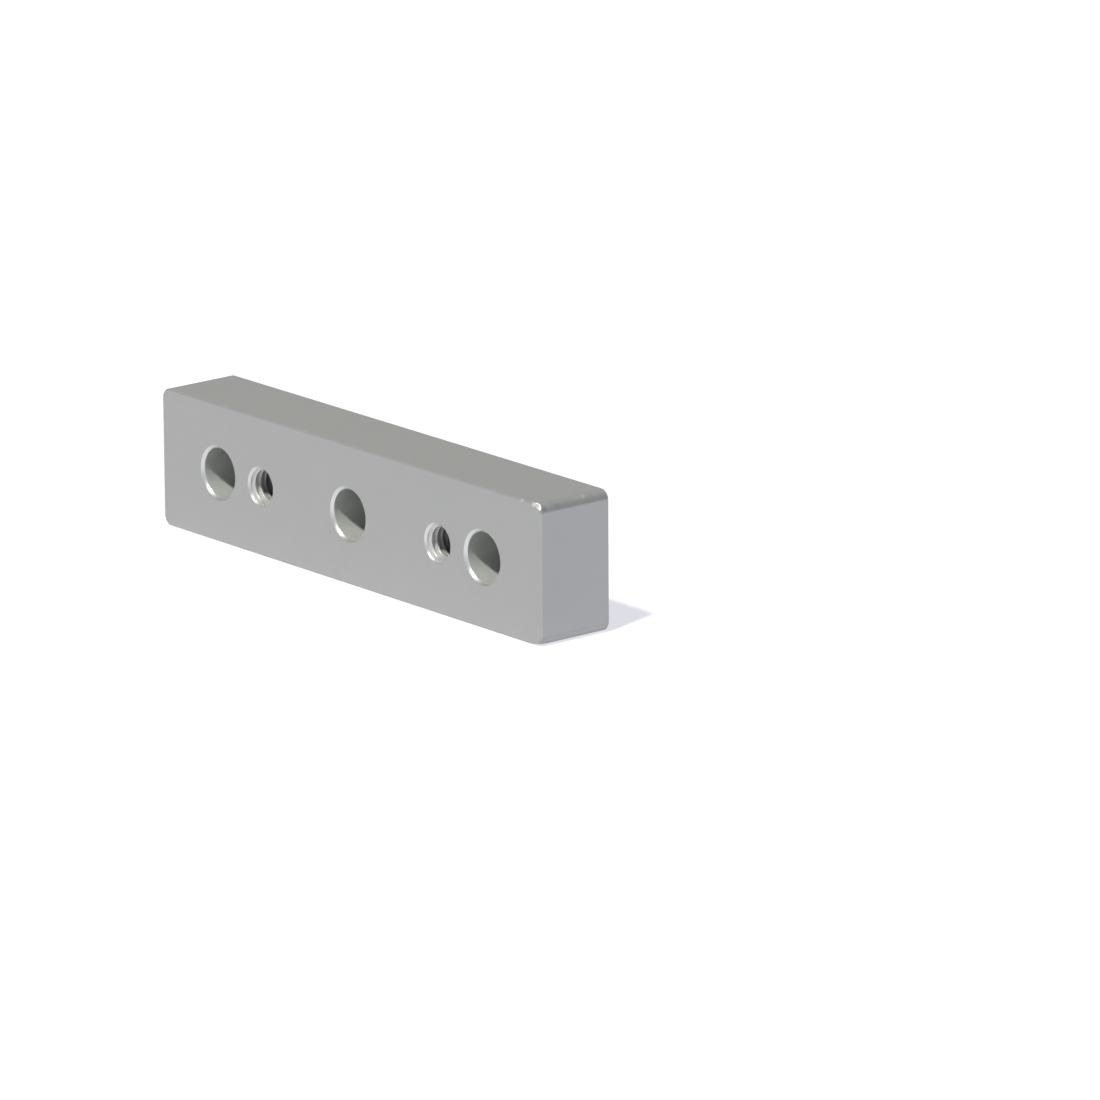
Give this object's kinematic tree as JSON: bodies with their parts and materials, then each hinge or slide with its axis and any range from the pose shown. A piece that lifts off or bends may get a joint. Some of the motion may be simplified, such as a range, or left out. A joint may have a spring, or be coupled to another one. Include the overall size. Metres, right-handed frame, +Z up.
{
  "type": "mounting block",
  "caption": "Flat rectangular aluminium mounting block with a row of chamfered screw clearance holes and countersunk tapped holes through its broad faces.",
  "frame": {"origin": "the middle of the underside, the long narrow side that the block stands on", "axes": "+X along the block's length, +Y through its thickness from the front face to the back face, along the holes, and +Z up, across the broad faces"},
  "size_m": [0.063, 0.009, 0.015],
  "materials": {
    "anodised_aluminium": "bead-blasted and clear anodised, satin silver grey"
  },
  "bodies": {
    "root": {"mounting_block": "anodised_aluminium"}
  },
  "joints": []
}
